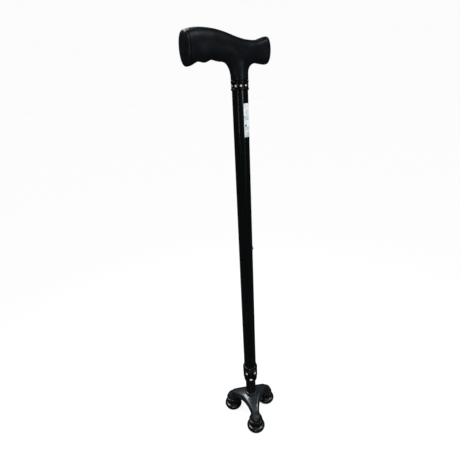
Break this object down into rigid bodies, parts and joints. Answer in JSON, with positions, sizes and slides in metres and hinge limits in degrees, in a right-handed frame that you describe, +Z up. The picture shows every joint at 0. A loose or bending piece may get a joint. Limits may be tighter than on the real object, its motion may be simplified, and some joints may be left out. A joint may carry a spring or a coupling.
{
  "type": "walking cane",
  "caption": "Height-adjustable walking cane with a T-shaped contoured handle, a telescopic tube with a snap button and twist lock, and a small standing base on rubber feet.",
  "frame": {"origin": "middle of the bounding box's bottom face, on the floor; the shaft axis stands at x = 11.65 mm, y = 3.45 mm", "axes": "+Z up along the shaft, +X towards the short nose of the handle (the grip points along -X), +Y completes the right-handed frame"},
  "size_m": [0.1355, 0.1018, 0.6875],
  "materials": {
    "tube_black": "gloss black lacquered aluminium tube",
    "lower_tube_black": "semi-gloss black anodised aluminium tube",
    "nylon": "moulded black nylon",
    "steel": "plated steel",
    "spring_steel": "blued spring steel strip",
    "lock_plastic": "semi-gloss black moulded plastic",
    "rubber": "black moulded rubber with a slight sheen",
    "bright_stud": "small polished silver inlays",
    "base_gloss": "smooth glossy blue-black moulding",
    "trim_black": "gloss black trim ring",
    "label_paper": "white paper label with pale blank print blocks",
    "handle_plastic": "satin black moulded plastic",
    "screw_black": "blackened steel screw"
  },
  "bodies": {
    "base": {"base_body": "base_gloss", "socket_ring": "base_gloss", "tube_end_plug": "steel", "base_bolt": "steel", "base_washer": "steel", "foot_washers": "steel", "foot_tip_front": "rubber", "foot_tip_rear_left": "rubber", "foot_tip_rear_right": "rubber", "lower_tube": "lower_tube_black", "guide_bush": "nylon", "button_spring": "spring_steel"},
    "upper": {"upper_tube": "tube_black", "lock_sleeve": "lock_plastic", "lock_seal": "rubber", "trim_ring": "trim_black", "trim_ring_studs": "bright_stud", "tube_label": "label_paper", "handle_grip": "handle_plastic", "grip_end_cap": "handle_plastic", "nose_cap": "handle_plastic", "handle_plug": "nylon", "handle_screw": "screw_black"},
    "button": {"snap_button": "steel"},
    "collet": {"lock_collet": "nylon"},
    "nut": {"lock_nut": "lock_plastic", "lock_nut_studs": "bright_stud"}
  },
  "joints": [
    {"name": "height_slide", "type": "slide", "parent": "base", "child": "upper", "axis": [0, 0, 1], "range_m": [0, 0.2286]},
    {"name": "button_press", "type": "slide", "parent": "base", "child": "button", "axis": [-1, 0, 0], "range_m": [0, 0.0034], "stiffness_N_per_m": 2000, "deforming": ["button_spring"]},
    {"name": "nut_drop", "type": "slide", "parent": "upper", "child": "collet", "axis": [0, 0, -1], "range_m": [0, 0.0025]},
    {"name": "nut_turn", "type": "hinge", "parent": "collet", "child": "nut", "pos_m": [0.01165, 0.00345, 0.098], "axis": [0, 0, -1], "range_deg": [0, 360]}
  ],
  "couplings": [
    {"joint": "nut_drop", "follows": "nut_turn", "m_per_rad": 0.00039789}
  ]
}
